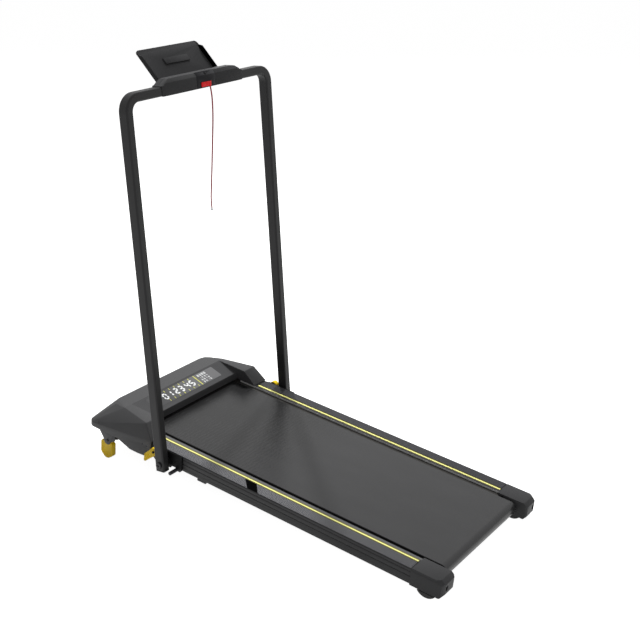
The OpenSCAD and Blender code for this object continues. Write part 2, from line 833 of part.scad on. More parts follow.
// tongue with a round head on its pin and a flat where it stands on the floor
module front_leg(s) {
    x1 = leg_out - fork_t - gap;
    w = leg_w / 2;
    color("#d0b428") difference() {
        deck() side(s) difference() {
            along_x(x1 - leg_t, x1) {
                translate([leg_y, leg_foot_z + 20]) circle(20);
                for (t = [-1, 1])
                    translate([leg_y + t * (w - 14), leg_foot_z + 20]) circle(14);
                translate([leg_y - w, leg_foot_z + 20])
                    square([leg_w, pin_z - leg_foot_z - 34]);
                translate([leg_y - w + 6, pin_z - 15]) square([leg_w - 12, 7]);
                for (t = [-1, 1]) translate([leg_y + t * (w - 6), pin_z - 14]) circle(6);
                translate([pin_y, pin_z]) circle(13);
                translate([pin_y - 13, pin_z - 12]) square([26, 12]);
            }
            rod(4 + fit, x1 - leg_t - 1, x1 + 1, pin_y, pin_z);
            // shallow panel in each broad face
            for (x = [x1 - leg_t - 1, x1 - 1.2])
                along_x(x, x + 2.2) translate([leg_y, leg_foot_z + 28]) round_rect(leg_w - 16, 28, 6);
        }
        translate([0, 0, -50]) cube([4 * cap_out, 3 * run_l, 100], center = true);
    }
}

module wheel(s) {
    x0 = leg_in(2) + fork_t + gap;
    color("#1a1a1a") deck() side(s) translate([x0, wheel_y, wheel_z]) rotate([0, 90, 0])
        rotate_extrude($fn = 72) polygon([[3 + fit, 0], [8, 0], [8, 2], [wheel_r - 5, 2],
            [wheel_r - 5, 0], [wheel_r - 1.5, 0], [wheel_r, 1.5], [wheel_r, wheel_w - 1.5],
            [wheel_r - 1.5, wheel_w], [wheel_r - 5, wheel_w], [wheel_r - 5, wheel_w - 2],
            [8, wheel_w - 2], [8, wheel_w], [3 + fit, wheel_w]]);
}

// ================================================================ handrail

module tube_section(grow) {
    round_rect(tube_x + 2 * grow, tube_y + 2 * grow, corner_r + grow);
}

// uprights, two bends and the crossbar, all of one section
module rail_path(grow) {
    arm = handrail_h - bend_r;
    both_sides() {
        translate([upright_x, 0, -plug_drop + 3]) linear_extrude(arm + plug_drop - 3)
            tube_section(grow);
        translate([upright_x - bend_r, 0, arm]) rotate([90, 0, 0])
            rotate_extrude(angle = 90, $fn = 96) translate([bend_r, 0]) tube_section(grow);
    }
    rotate([0, 90, 0]) translate([-handrail_h, 0, -upright_x + bend_r])
        linear_extrude(2 * (upright_x - bend_r)) tube_section(grow);
}

module handrail_tube() {
    color("#2d2e30") handrail() difference() {
        rail_path(0);
        rail_path(-tube_wall);
        both_sides() {
            // the two walls' bores on the shoulder bolt
            rod(pivot_r + fit, upright_in - 1, upright_in + tube_x + 1);
            translate([upright_x, 0, -plug_drop]) linear_extrude(10) tube_section(-tube_wall);
        }
    }
}

// moulded plugs in the uprights' lower ends
module tube_plugs() {
    color("#151516") handrail() both_sides() difference() {
        union() {
            translate([upright_x, 0, -plug_drop]) linear_extrude(3) tube_section(0);
            translate([upright_x, 0, -plug_drop + 3]) linear_extrude(11)
                tube_section(-tube_wall - 0.1);
        }
        rod(pivot_r + 1, upright_in - 1, upright_in + tube_x + 1);
    }
}

// ================================================================ console

// outer form of the housing: end, front and plan outlines together
module console_form() {
    t = console_half;
    intersection() {
        along_x(-t, t) polygon([[face_y, console_bottom], [face_y, shoulder_z], [face_y + 7.5, console_top],
            [back_y - 5, console_top], [back_y, console_top - 7], [back_y, console_bottom]]);
        along_y(face_y - 1, back_y + 1) polygon([[-t, console_bottom + 1.2], [-t + 4, console_bottom],
            [t - 4, console_bottom], [t, console_bottom + 1.2], [t, bar_top + 2], [t - 8, bar_top + 4],
            [t - 26, console_top - 2], [t - 36, console_top], [36 - t, console_top],
            [26 - t, console_top - 2], [8 - t, bar_top + 4], [-t, bar_top + 2]]);
        translate([0, 0, console_bottom - 1]) linear_extrude(console_top - console_bottom + 2)
            polygon([[-t, face_y + 1.2], [12 - t, face_y + 1], [26 - t, face_y], [t - 26, face_y],
                [t - 12, face_y + 1], [t, face_y + 1.2], [t, back_y - 1], [t - 20, back_y],
                [20 - t, back_y], [-t, back_y - 1]]);
    }
}

// room inside for the crossbar and, above it, the circuit board
module console_room() {
    rotate([0, 90, 0]) translate([-handrail_h, 0, -console_half - 1])
        linear_extrude(2 * console_half + 2) tube_section(0.1);
    block([-console_half + 44, console_half - 44], [face_y + 12, back_y - 3],
        [bar_top - 3, console_top - 3]);
}

module console_rear_shell() {
    color("#3a3b3d") handrail() difference() {
        intersection() {
            console_form();
            block([-400, 400], [face_y - 2, -0.1], [console_bottom - 5, console_top + 5]);
        }
        console_room();
        along_x(module_x0 - 0.2, module_x1 + 0.2) module_section(0.2);
    }
}

// front half, with two pairs of ears for the tray
module console_front_shell() {
    color("#2f3032") handrail() difference() {
        union() {
            intersection() {
                console_form();
                block([-400, 400], [0.1, back_y + 2], [console_bottom - 5, console_top + 5]);
            }
            for (x = ear_xs, t = [-1, 1]) along_x(x + t * 14 - 3, x + t * 14 + 3) {
                translate([hinge_y, hinge_z]) circle(hinge_r);
                translate([back_y - 1, hinge_z - hinge_r]) square([hinge_y - back_y + 1, 2 * hinge_r]);
            }
        }
        console_room();
        for (x = ear_xs) rod(hinge_pin_r, x - 20, x + 20, hinge_y, hinge_z);
    }
}

// section of the insert that carries the key's seat and the button
module module_section(grow) {
    polygon([[face_y - 0.5 - grow, console_bottom + 1 - grow], [face_y - 0.5 - grow, shoulder_z + 0.2],
        [face_y + 7.2 - grow, console_top + 0.5 + grow], [face_y + 11 + grow, console_top + 0.5 + grow],
        [face_y + 11 + grow, console_top - 4 - grow], [face_y + 7.6 + grow, console_top - 4 - grow],
        [face_y + 2.1 + grow, shoulder_z - 2], [face_y + 2.1 + grow, console_bottom + 1 - grow]]);
}

// the button's frame: z points out of the sloping shoulder
module button_frame() {
    translate([button_x, face_y + 3.4, (shoulder_z + console_top) / 2 + 0.4]) rotate([53, 0, 0])
        children();
}

module key_module() {
    color("#333436") handrail() difference() {
        along_x(module_x0, module_x1) module_section(0);
        block([key_x0 - gap, key_x1 + gap], [face_y - 2, face_y + 1.4],
            [key_z - gap, key_z + key_h + gap]);
        button_frame() cylinder(r = button_r + fit, h = 20, center = true);
    }
}

module start_button() {
    color("#0e0e0f") handrail() button_frame() translate([0, 0, -2.2])
        cylinder(r = button_r, h = 3.2);
}

// magnetic key: block with thumb ridges and an eye for the lanyard
module safety_key() {
    tip_y = face_y - key_proud;
    color("#e5282d") handrail() difference() {
        union() {
            block([key_x0, key_x1], [tip_y + 1.5, face_y + 1.1], [key_z, key_z + key_h]);
            block([key_x0 + 1.5, key_x1 - 1.5], [tip_y, tip_y + 1.5],
                [key_z + 1.5, key_z + key_h - 1.5]);
            rod(eye_r, eye_x - 2, eye_x + 2, eye_y, eye_z);
        }
        for (x = [key_x0 + 9 : 6 : key_x1 - 10])
            block([x, x + 2.4], [tip_y - 1, tip_y + 0.8], [key_z + 3, key_z + key_h - 3]);
    }
}

// where the lanyard leaves the key, in the row frame
function tip(p, a) = [p[0], p[1] * cos(a) - p[2] * sin(a), p[1] * sin(a) + p[2] * cos(a)];
function from_handrail(p) = tip(tip(p, -lean) + [0, pivot_y, pivot_z], incline)
    + [0, -mid_y, floor_shift];
lanyard_eye = from_handrail([eye_x, eye_y, eye_z]) - [0, 0, eye_r];

// smooth route through the points, then rings about it
function spline(p, i, t) = let (a = p[max(i - 1, 0)], b = p[i], c = p[i + 1],
    d = p[min(i + 2, len(p) - 1)]) 0.5 * (2 * b + (c - a) * t
    + (2 * a - 5 * b + 4 * c - d) * t * t + (3 * b - a - 3 * c + d) * t * t * t);
lanyard_path = [for (i = [0 : len(lanyard_pts) - 2], k = [0 : lanyard_steps - 1])
    lanyard_eye + spline(lanyard_pts, i, k / lanyard_steps),
    lanyard_eye + lanyard_pts[len(lanyard_pts) - 1]];

// the cord hangs, so level rings follow it closely enough
module lanyard() {
    n = len(lanyard_path);
    m = lanyard_sides;
    color("#d8606a") polyhedron(
        points = [for (p = lanyard_path, k = [0 : m - 1])
            p + lanyard_r * [cos(360 * k / m), sin(360 * k / m), 0]],
        faces = concat([[for (k = [0 : m - 1]) k]], [[for (k = [m - 1 : -1 : 0]) (n - 1) * m + k]],
            [for (i = [0 : n - 2], k = [0 : m - 1]) [i * m + k, (i + 1) * m + k,
                (i + 1) * m + (k + 1) % m, i * m + (k + 1) % m]]));
}

module lanyard_clip() {
    p = lanyard_path[len(lanyard_path) - 1];
    color("#8c8e90") translate(p + [0, 0, -6]) {
        cylinder(r = 2, h = 6);
        translate([0, 0, -2]) cylinder(r = 2.6, h = 3);
    }
}

// ================================================================ tray

// plate with side walls, a raised rest and two hinge knuckles
module tray() {
    w = tray_w / 2;
    t = 3.6;
    color("#2b2c2e") tray_frame() difference() {
        union() {
            along_y(0, t) translate([0, tray_l / 2 + 3]) round_rect(tray_w, tray_l - 6, 11);
            // raised rest in the middle of the plate
            block([-49, 49], [-3, 1], [62, 82]);
            // side walls, cut back at the top corners
            for (s = [-1, 1]) translate([s * (w - 1.6), 0, 0]) along_x(-1.6, 1.6)
                polygon([[0.5, 12], [-wall_d + 3, 12], [-wall_d, 18], [-wall_d, tray_l - 26],
                    [0.5, tray_l - 14]]);
            for (x = ear_xs) {
                rod(hinge_r - 0.3, x - 10.6, x + 10.6);
                block([x - 10.6, x + 10.6], [0, t], [0, 9]);
            }
        }
        for (x = ear_xs) rod(hinge_pin_r + fit, x - 12, x + 12);
    }
}

module tray_pins() {
    color("#9fa1a3") handrail() for (x = ear_xs)
        rod(hinge_pin_r, x - 17.5, x + 17.5, hinge_y, hinge_z);
}

// ================================================================ nodes

side_member(-1);  // left_side_member
side_member(1);  // right_side_member
rear_crossmember();
mid_crossmember();
roller_blocks();
running_board();
board_cushions();
running_belt();
rear_roller();
rear_roller_bearings();
rear_roller_axle();
tension_bolts();
front_roller();
front_roller_bearings();
front_roller_axle();
side_rail(-1);  // left_side_rail
side_rail(1);  // right_side_rail
grip_strip(-1);  // left_grip_strip
grip_strip(1);  // right_grip_strip
stripe(-1);  // left_stripe
stripe(1);  // right_stripe
end_cap(-1);  // left_end_cap
end_cap(1);  // right_end_cap
rear_foot(-1);  // left_rear_foot
rear_foot(1);  // right_rear_foot
motor_pan();
motor_cradle();
motor_body();
motor_rotor();
drive_belt();
controller();
heat_sink();
power_inlet();
power_switch();
hood();
hood_screws();
display_panel();
pivot_bracket(-1);  // left_pivot_bracket
pivot_bracket(1);  // right_pivot_bracket
pivot_bolts();
rest_pegs();
lock_lever(-1);  // left_lock_lever
lock_lever(1);  // right_lock_lever
leg_brackets();
leg_pins();
front_leg(-1);  // left_front_leg
front_leg(1);  // right_front_leg
wheel(-1);  // left_wheel
wheel(1);  // right_wheel
handrail_tube();
tube_plugs();
console_rear_shell();
console_front_shell();
key_module();
start_button();
safety_key();
lanyard();
lanyard_clip();
tray();
tray_pins();
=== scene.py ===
import json
import math

import bpy
from mathutils import Matrix, Vector


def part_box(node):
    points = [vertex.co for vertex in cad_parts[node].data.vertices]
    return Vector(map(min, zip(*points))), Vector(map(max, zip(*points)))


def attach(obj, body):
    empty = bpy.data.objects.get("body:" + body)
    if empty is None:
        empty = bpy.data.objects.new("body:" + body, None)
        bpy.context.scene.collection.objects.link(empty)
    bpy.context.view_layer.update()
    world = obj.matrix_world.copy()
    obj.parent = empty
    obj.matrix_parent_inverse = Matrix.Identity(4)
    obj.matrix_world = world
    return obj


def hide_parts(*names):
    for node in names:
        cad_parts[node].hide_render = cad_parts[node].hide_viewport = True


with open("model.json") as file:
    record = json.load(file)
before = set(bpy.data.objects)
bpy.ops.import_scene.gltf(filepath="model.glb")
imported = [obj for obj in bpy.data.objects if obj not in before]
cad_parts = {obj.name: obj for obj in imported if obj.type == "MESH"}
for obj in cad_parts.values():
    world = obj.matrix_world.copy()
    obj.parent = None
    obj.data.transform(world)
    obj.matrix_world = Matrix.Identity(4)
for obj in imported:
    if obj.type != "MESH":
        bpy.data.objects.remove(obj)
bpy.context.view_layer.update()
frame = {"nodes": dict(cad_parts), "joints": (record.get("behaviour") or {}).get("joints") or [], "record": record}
bpy.ops.object.select_all(action="DESELECT")

# ---------------------------------------------------------------- camera
# A portrait lens at the height of a tall user's eyes, off the left rear corner of the
# treadmill, rolled by a degree or so.
eye_point = Vector((-2.45376, -1.75205, 1.76602))
look_at = Vector((0.0, -0.04049, 0.53654))
camera_data = bpy.data.cameras.new("camera")
camera_data.lens = 65.742
camera_data.sensor_width = 36.0
camera_data.clip_end = 60.0
camera = bpy.data.objects.new("camera", camera_data)
bpy.context.scene.collection.objects.link(camera)
camera.matrix_world = (
    Matrix.Translation(eye_point)
    @ (look_at - eye_point).to_track_quat("-Z", "Y").to_matrix().to_4x4()
    @ Matrix.Rotation(math.radians(1.3614), 4, "Z")
)
bpy.context.scene.camera = camera


# ---------------------------------------------------------------- lanyard
# A thin cord of woven red polyester, tied to the safety key's eye. It hangs down with a slight
# bow, and ends in a small clip for the user's clothes.
class Wire:
    """One socket of a finish, so that patterns can be written as sums and products."""

    def __init__(self, finish, socket):
        self.finish, self.socket = finish, socket

    def maths(self, operation, *others):
        return self.finish.add("ShaderNodeMath", {"operation": operation}, [self, *others])

    def __add__(self, other):
        return self.maths("ADD", other)

    def __sub__(self, other):
        return self.maths("SUBTRACT", other)

    def __mul__(self, other):
        return self.maths("MULTIPLY", other)

    def __rsub__(self, other):
        return self.finish.add("ShaderNodeMath", {"operation": "SUBTRACT"}, [other, self])

    __radd__ = __add__
    __rmul__ = __mul__


class Finish:
    """A material: one Principled shader, and the patterns that feed it."""

    def __init__(self, name, fixed=None):
        self.material = bpy.data.materials.new(name)
        self.material.use_nodes = True
        self.tree = self.material.node_tree
        self.tree.nodes.clear()
        output = self.tree.nodes.new("ShaderNodeOutputMaterial")
        self.shader = self.tree.nodes.new("ShaderNodeBsdfPrincipled")
        self.tree.links.new(self.shader.outputs[0], output.inputs["Surface"])
        self.set(fixed or {})

    def feed(self, socket, value):
        if isinstance(value, Wire):
            self.tree.links.new(value.socket, socket)
        else:
            socket.default_value = value

    def set(self, values):
        for name, value in values.items():
            self.feed(self.shader.inputs[name], value)

    def add(self, kind, settings, values, output=0):
        """A node: its settings first, then the values or links of its sockets."""
        node = self.tree.nodes.new(kind)
        for name, value in settings.items():
            setattr(node, name, value)
        for key, value in values.items() if isinstance(values, dict) else enumerate(values):
            self.feed(node.inputs[key], value)
        return Wire(self, node.outputs[output])

    def place(self, held=None, stretch=(1, 1, 1), source="Object"):
        """Where a point is on its piece, in metres, in the axes that the piece was made in."""
        back = (held or Matrix()).inverted()
        found = self.add("ShaderNodeTexCoord", {}, {}, source)
        turned = self.add("ShaderNodeMapping", {}, {
            "Vector": found, "Rotation": tuple(back.to_euler()), "Location": back.translation})
        if stretch == (1, 1, 1):
            return turned
        return self.add("ShaderNodeMapping", {}, {"Vector": turned, "Scale": stretch})

    def along(self, place, axis):
        return self.add("ShaderNodeSeparateXYZ", {}, [place], axis)

    def noise(self, place, scale, detail=2.0):
        return self.add("ShaderNodeTexNoise", {},
                        {"Vector": place, "Scale": scale, "Detail": detail})

    def steps(self, share, low, high):
        """0 below one value, 1 above another, and smooth between them."""
        return self.add("ShaderNodeMapRange", {"interpolation_type": "SMOOTHSTEP"},
                        {"Value": share, "From Min": low, "From Max": high})

    def tint(self, share, first, second):
        """A colour on the way from one to another; the mix node's colours are sockets 6, 7 and 2."""
        return self.add("ShaderNodeMix", {"data_type": "RGBA"}, {0: share, 6: first, 7: second}, 2)

    def relief(self, height, depth, strength=1.0):
        self.set({"Normal": self.add("ShaderNodeBump", {}, {
            "Strength": strength, "Distance": depth, "Height": height})})


def tone(red, green, blue):
    """A colour as a paint maker reads it off a chart, from 0 to 255."""
    shares = [value / 255 for value in (red, green, blue)]
    return (*[s / 12.92 if s <= 0.04045 else ((s + 0.055) / 1.055) ** 2.4 for s in shares], 1.0)


cord_radius = 0.0020
cord_eye = Vector((0.021, 0.363915, 1.126491))
cord_route = [(0, 0, 0), (1, -1, -6), (3, -4, -34), (4, -5, -80), (2, -5, -136), (0, -4, -194),
              (-2, -3, -252), (-5, -3, -295), (-7, -4, -324), (-5.5, -5, -347)]


def along_route(knots, i, t):
    a, b, c, d = knots[max(i - 1, 0)], knots[i], knots[i + 1], knots[min(i + 2, len(knots) - 1)]
    return 0.5 * (2 * b + (c - a) * t + (2 * a - 5 * b + 4 * c - d) * t * t
                  + (3 * b - a - 3 * c + d) * t ** 3)


cord_knots = [cord_eye + Vector(offset) / 1000 for offset in cord_route]
cord_line = [along_route(cord_knots, i, k / 4)
             for i in range(len(cord_knots) - 1) for k in range(4)] + [cord_knots[-1]]
cord_length = sum((b - a).length for a, b in zip(cord_line, cord_line[1:]))
cord_curve = bpy.data.curves.new("lanyard_cord", "CURVE")
cord_curve.dimensions = "3D"
cord_curve.bevel_depth = cord_radius
cord_curve.bevel_resolution = 3
cord_curve.use_fill_caps = True
strand = cord_curve.splines.new("POLY")
strand.points.add(len(cord_line) - 1)
for point, at in zip(strand.points, cord_line):
    point.co = (*at, 1.0)
cord = bpy.data.objects.new("lanyard_cord", cord_curve)
bpy.context.scene.collection.objects.link(cord)

woven = Finish("woven_cord", {"Roughness": 0.8})
weave = woven.add("ShaderNodeTexWave", {"wave_type": "BANDS", "bands_direction": "DIAGONAL"},
                  {"Vector": woven.place(), "Scale": 260.0, "Distortion": 1.0})
woven.set({"Base Color": woven.tint(weave, tone(134, 22, 36), tone(170, 40, 56))})
woven.relief(weave, 0.0002)
cord_curve.materials.append(woven.material)
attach(cord, "safety_key")
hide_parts("lanyard")


def paint(finish, *names):
    """Gives parts that stay as they were machined a finish."""
    for name in names:
        part = frame["nodes"][name].data
        part.materials.clear()
        part.materials.append(finish.material)


clip_grey = Finish("clip_grey", {"Roughness": 0.34})
clip_cloud = clip_grey.noise(clip_grey.place(), 220.0)
clip_grey.set({"Base Color": clip_grey.tint(clip_cloud, tone(120, 122, 126), tone(150, 152, 156))})
clip_grey.relief(clip_cloud, 0.0001)
paint(clip_grey, "lanyard_clip")

# ---------------------------------------------------------------- floor and light
# A plain pale floor and surround, two small bright lamps high on the right, and two wide weak
# ones, overhead and behind the user.
floor = Finish("floor_pale", {"Base Color": (0.5, 0.5, 0.5, 1), "Roughness": 0.9,
                              "Specular IOR Level": 0.0})
floor_seen = floor.add("ShaderNodeLightPath", {}, {}, "Is Camera Ray").maths(
    "MAXIMUM", floor.add("ShaderNodeLightPath", {}, {}, "Is Glossy Ray"))
floor.set({"Emission Color": floor.tint(floor_seen, (0, 0, 0, 1), (0.93, 0.93, 0.93, 1)),
           "Emission Strength": 1.0})
bpy.ops.mesh.primitive_plane_add(size=60, location=(0, 0, -0.0005))
floor_plane = bpy.context.object
floor_plane.name = "floor"
floor_plane.data.materials.append(floor.material)

surround = bpy.data.worlds.new("surround")
surround.use_nodes = True
bpy.context.scene.world = surround
sky = surround.node_tree
sky.nodes.clear()
sky_out = sky.nodes.new("ShaderNodeOutputWorld")
sky_mix = sky.nodes.new("ShaderNodeMixShader")
sky_path = sky.nodes.new("ShaderNodeLightPath")
sky_either = sky.nodes.new("ShaderNodeMath")
sky_either.operation = "MAXIMUM"
sky.links.new(sky_path.outputs["Is Camera Ray"], sky_either.inputs[0])
sky.links.new(sky_path.outputs["Is Glossy Ray"], sky_either.inputs[1])
sky.links.new(sky_either.outputs[0], sky_mix.inputs[0])
light_cast, light_seen = 0.13, 1.0
for socket, strength in ((1, light_cast), (2, light_seen)):
    glow = sky.nodes.new("ShaderNodeBackground")
    glow.inputs["Color"].default_value = (1, 1, 1, 1)
    glow.inputs["Strength"].default_value = strength
    sky.links.new(glow.outputs[0], sky_mix.inputs[socket])
sky.links.new(sky_mix.outputs[0], sky_out.inputs["Surface"])


lamp_target = Vector((0, 0, 0.4))


def lamp(name, at, size, watts):
    data = bpy.data.lights.new(name, "AREA")
    data.shape = "SQUARE"
    data.size = size
    data.energy = watts
    light = bpy.data.objects.new(name, data)
    light.visible_glossy = False
    bpy.context.scene.collection.objects.link(light)
    place = Vector(at)
    aim = (lamp_target - place).to_track_quat("-Z", "Y")
    light.matrix_world = Matrix.Translation(place) @ aim.to_matrix().to_4x4()


lamp("lamp_right", (2.25, 1.17, 3.66), 0.16, 140)
lamp("lamp_front_right", (1.65, 2.03, 3.66), 0.16, 132)
lamp("lamp_overhead", (-0.6, -0.6, 4.0), 3.0, 6)
lamp("lamp_user_side", (-2.7, -2.3, 1.9), 2.0, 43)
bpy.context.scene.view_settings.view_transform = "Standard"

# ---------------------------------------------------------------- welded frame
# Two steel side members and two crossmembers, pressed from sheet, welded and powder coated
# black, and tipped nose up by the front legs. The frame's own axes are read off the rollers.
pivots = {joint["name"]: Vector(joint["pos_m"]) for joint in frame["joints"] if "pos_m" in joint}
rear_axle = Vector((0.0, -0.048, -0.0245))
front_axle = Vector((0.0, 0.985, -0.0245))
rise = pivots["front_roller_spin"] - pivots["rear_roller_spin"]
incline = math.atan2(rise.z, rise.y)
deck = (Matrix.Translation(pivots["rear_roller_spin"]) @ Matrix.Rotation(incline, 4, "X")
        @ Matrix.Translation(-rear_axle))


def powder_coat(name, dark, pale, grain=0.00006, held=deck):
    """Baked powder, with a slight orange peel. Its plain colour is kept, to be masked over."""
    coat = Finish(name, {"Specular IOR Level": 0.28})
    cloud = coat.noise(coat.place(held), 9.0, 5.0)
    peel = coat.noise(coat.place(held), 620.0, 1.0)
    coat.colour = coat.tint(cloud, dark, pale)
    coat.set({"Base Color": coat.colour, "Roughness": 0.34 + cloud * 0.22})
    coat.relief(peel, grain)
    return coat


frame_black = powder_coat("frame_black", tone(30, 30, 32), tone(40, 40, 43))
paint(frame_black, "left_side_member", "right_side_member", "rear_crossmember",
      "mid_crossmember", "motor_cradle")

# ---------------------------------------------------------------- rollers
# Steel tubes turned true and zinc plated, on sealed bearings and fixed axles. The rear axle's
# ends lie in slotted blocks, each with a tension bolt behind a window of the end cap.
turned = Finish("turned_steel", {"Metallic": 1.0})
tool_marks = turned.noise(turned.place(deck, (900.0, 3.0, 3.0)), 1.0, 3.0)
plating = turned.noise(turned.place(deck), 24.0, 4.0)
turned.set({"Base Color": turned.tint(plating, tone(150, 152, 156), tone(190, 192, 195)),
            "Roughness": 0.2 + plating * 0.12 + tool_marks * 0.14})
turned.relief(tool_marks, 0.00003)
paint(turned, "rear_roller", "rear_roller_bearings", "rear_roller_axle", "front_roller",
      "front_roller_bearings", "front_roller_axle", "tension_bolts", "motor_rotor")
paint(frame_black, "roller_blocks")

# ---------------------------------------------------------------- board and cushions
# Medium-density fibreboard, stained dark right through and waxed, on rubber cushions. Its left margin is painted
# black as painted shade in the gap beside the belt.
waxed = Finish("waxed_board", {"Roughness": 0.42})
fibre = waxed.noise(waxed.place(deck, (160.0, 40.0, 900.0)), 1.0, 4.0)
belt_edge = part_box("running_belt")[1].x
# near black without a reflection, used wherever shade is painted
painted_shade_black = tone(5, 5, 6)
# painted shade: the board's left margin, beside the belt, is black
unshaded_board = waxed.steps(waxed.along(waxed.place(deck), "X"), 0.004 - belt_edge, 0.006 - belt_edge)
waxed.set({"Metallic": 1.0 - unshaded_board, "Base Color": waxed.tint(
    unshaded_board, painted_shade_black, waxed.tint(fibre, tone(28, 27, 26), tone(46, 44, 42)))})
waxed.relief(fibre, 0.00012)
paint(waxed, "running_board")

soft_black = Finish("soft_black_rubber", {"Roughness": 0.78})
bloom = soft_black.noise(soft_black.place(), 46.0, 5.0)
soft_black.set({"Base Color": soft_black.tint(bloom, tone(24, 24, 24), tone(44, 44, 45))})
soft_black.relief(soft_black.noise(soft_black.place(), 1100.0), 0.00015)
paint(soft_black, "board_cushions")


# ---------------------------------------------------------------- running belt
# A spliced loop of polyester cloth with a soft dark face, pressed with fine cross ribs that grip a shoe. Its left
# edge is painted black as painted shade, and its front run, by the hood, shows pressed lines and is darker as the
# hood's painted shadow. It is tight over both rollers and slides on the board.
def only(*pieces):
    bpy.ops.object.select_all(action="DESELECT")
    for piece in pieces:
        piece.select_set(True)
    bpy.context.view_layer.objects.active = pieces[0]


def settle(piece, held=None):
    """Moves a piece's place into its mesh, from the axes that it was made in."""
    only(piece)
    bpy.ops.object.transform_apply(location=True, rotation=True, scale=True)
    piece.data.transform(held or Matrix())


def fit_out(piece, name, body, node, finish):
    """Names a finished piece, gives it its finish, and puts it in its part's place."""
    piece.name = name
    piece.data.materials.clear()
    piece.data.materials.append(finish.material)
    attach(piece, body)
    if node:
        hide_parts(node)


loop_radius = 0.0205
loop_wall = 0.0016
row_shift = 0.2  # keeps the pattern of the upper run apart from the lower run's
bpy.ops.mesh.primitive_cylinder_add(vertices=96, radius=loop_radius, depth=2 * belt_edge,
                                    end_fill_type="NOTHING", rotation=(0, math.pi / 2, 0))
loop = bpy.context.object
settle(loop)
bpy.ops.object.mode_set(mode="EDIT")
bpy.ops.mesh.select_mode(type="VERT")
bpy.ops.mesh.select_all(action="DESELECT")
bpy.ops.object.mode_set(mode="OBJECT")
for vertex in loop.data.vertices:
    vertex.select = vertex.co.y > 1e-6
bpy.ops.object.mode_set(mode="EDIT")
bpy.ops.transform.translate(value=(0, front_axle.y - rear_axle.y, 0))
bpy.ops.object.mode_set(mode="OBJECT")
settle(loop, Matrix.Translation(rear_axle))
round_the_loop = loop.data.uv_layers.active or loop.data.uv_layers.new(name="UVMap")
for face in loop.data.polygons:
    for corner in face.loop_indices:
        at = loop.data.vertices[loop.data.loops[corner].vertex_index].co
        side = 1.0 if face.center.z > rear_axle.z else -1.0
        round_the_loop.data[corner].uv = (at.x, side * (at.y + row_shift))
wall = loop.modifiers.new("wall", "SOLIDIFY")
wall.thickness = loop_wall
wall.offset = -1.0
bpy.ops.object.modifier_apply(modifier="wall")
settle(loop, deck)
bpy.ops.object.shade_smooth_by_angle(angle=math.radians(30))

tread = Finish("ribbed_tread", {"Specular IOR Level": 0.28})
tread_place = tread.place(source="UV")
ribs = tread.add("ShaderNodeTexWave", {"wave_type": "BANDS", "bands_direction": "Y"},
                 {"Vector": tread_place, "Scale": 120.0, "Distortion": 2.0, "Detail": 2.0,
                  "Detail Scale": 1.0})
flecks = tread.noise(tread.add("ShaderNodeMapping", {}, {
    "Vector": tread_place, "Scale": (190.0, 620.0, 1.0)}), 1.0, 2.0)
wear = tread.noise(tread.add("ShaderNodeMapping", {}, {
    "Vector": tread_place, "Scale": (16.0, 5.0, 1.0)}), 1.0, 4.0)
press_lines = tread.add("ShaderNodeTexWave", {"wave_type": "BANDS", "bands_direction": "Y"},
                        {"Vector": tread_place, "Scale": 27.0, "Distortion": 4.5, "Detail": 2.0,
                         "Detail Scale": 2.0})
relief = ribs * 0.5 + flecks * 0.5
# painted shadow of the hood: the tread darkens towards the front, where pressed lines also show
near_hood_lines_and_shadow = tread.steps(tread.along(tread_place, "Y"), 0.62, 0.95)
# painted shade: the belt's left edge is black, without a reflection
left_edge_painted_shade = tread.steps(0.0045 - belt_edge - tread.along(tread_place, "X"), 0.0, 0.0015)
paleness = (relief * 0.45 + wear * 0.25 + press_lines * near_hood_lines_and_shadow * 0.16
            + 0.2 - near_hood_lines_and_shadow * 0.44)
cloth = tread.tint(paleness, tone(26, 26, 26), tone(62, 62, 63))
tread.set({"Metallic": left_edge_painted_shade, "Base Color": tread.tint(left_edge_painted_shade, cloth, painted_shade_black),
           "Roughness": 0.16 + flecks * 0.08 + wear * 0.05})
tread.relief(relief, 0.0002, 0.6)
fit_out(loop, "tread_belt", "base", "running_belt", tread)


# ---------------------------------------------------------------- side rails
# Extruded aluminium rails, powder coated dark grey, with two grooves along the outside. A yellow stripe and a
# stippled rubber strip are let into the top, where the user steps. The left rail's inner lip is paler, and the
# right rail's inner wall, which lies in shade, is painted pale as painted light.
def ease(node, width, finish, name, sharp=30.0, segments=2, reshape=None):
    """A part's shape, moved a little if asked, with its edges broken as a mould leaves them."""
    body = next(b for b, names in frame["record"]["behaviour"]["bodies"].items() if node in names)
    piece = bpy.data.objects.new(name, frame["nodes"][node].data.copy())
    bpy.context.scene.collection.objects.link(piece)
    only(piece)
    if piece.data.has_custom_normals:
        bpy.ops.mesh.customdata_custom_splitnormals_clear()
    bpy.ops.object.mode_set(mode="EDIT")
    bpy.ops.mesh.select_all(action="SELECT")
    bpy.ops.mesh.remove_doubles(threshold=0.000005)
    bpy.ops.mesh.dissolve_limited(angle_limit=math.radians(0.5))
    bpy.ops.object.mode_set(mode="OBJECT")
    if reshape:
        for vertex in piece.data.vertices:
            vertex.co = reshape(vertex.co)
    edges = piece.modifiers.new("edges", "BEVEL")
    edges.width = width
    edges.segments = segments
    edges.limit_method = "ANGLE"
    edges.angle_limit = math.radians(sharp)
    bpy.ops.object.modifier_apply(modifier="edges")
    bpy.ops.object.shade_smooth_by_angle(angle=math.radians(26))
    fit_out(piece, name, body, node, finish)


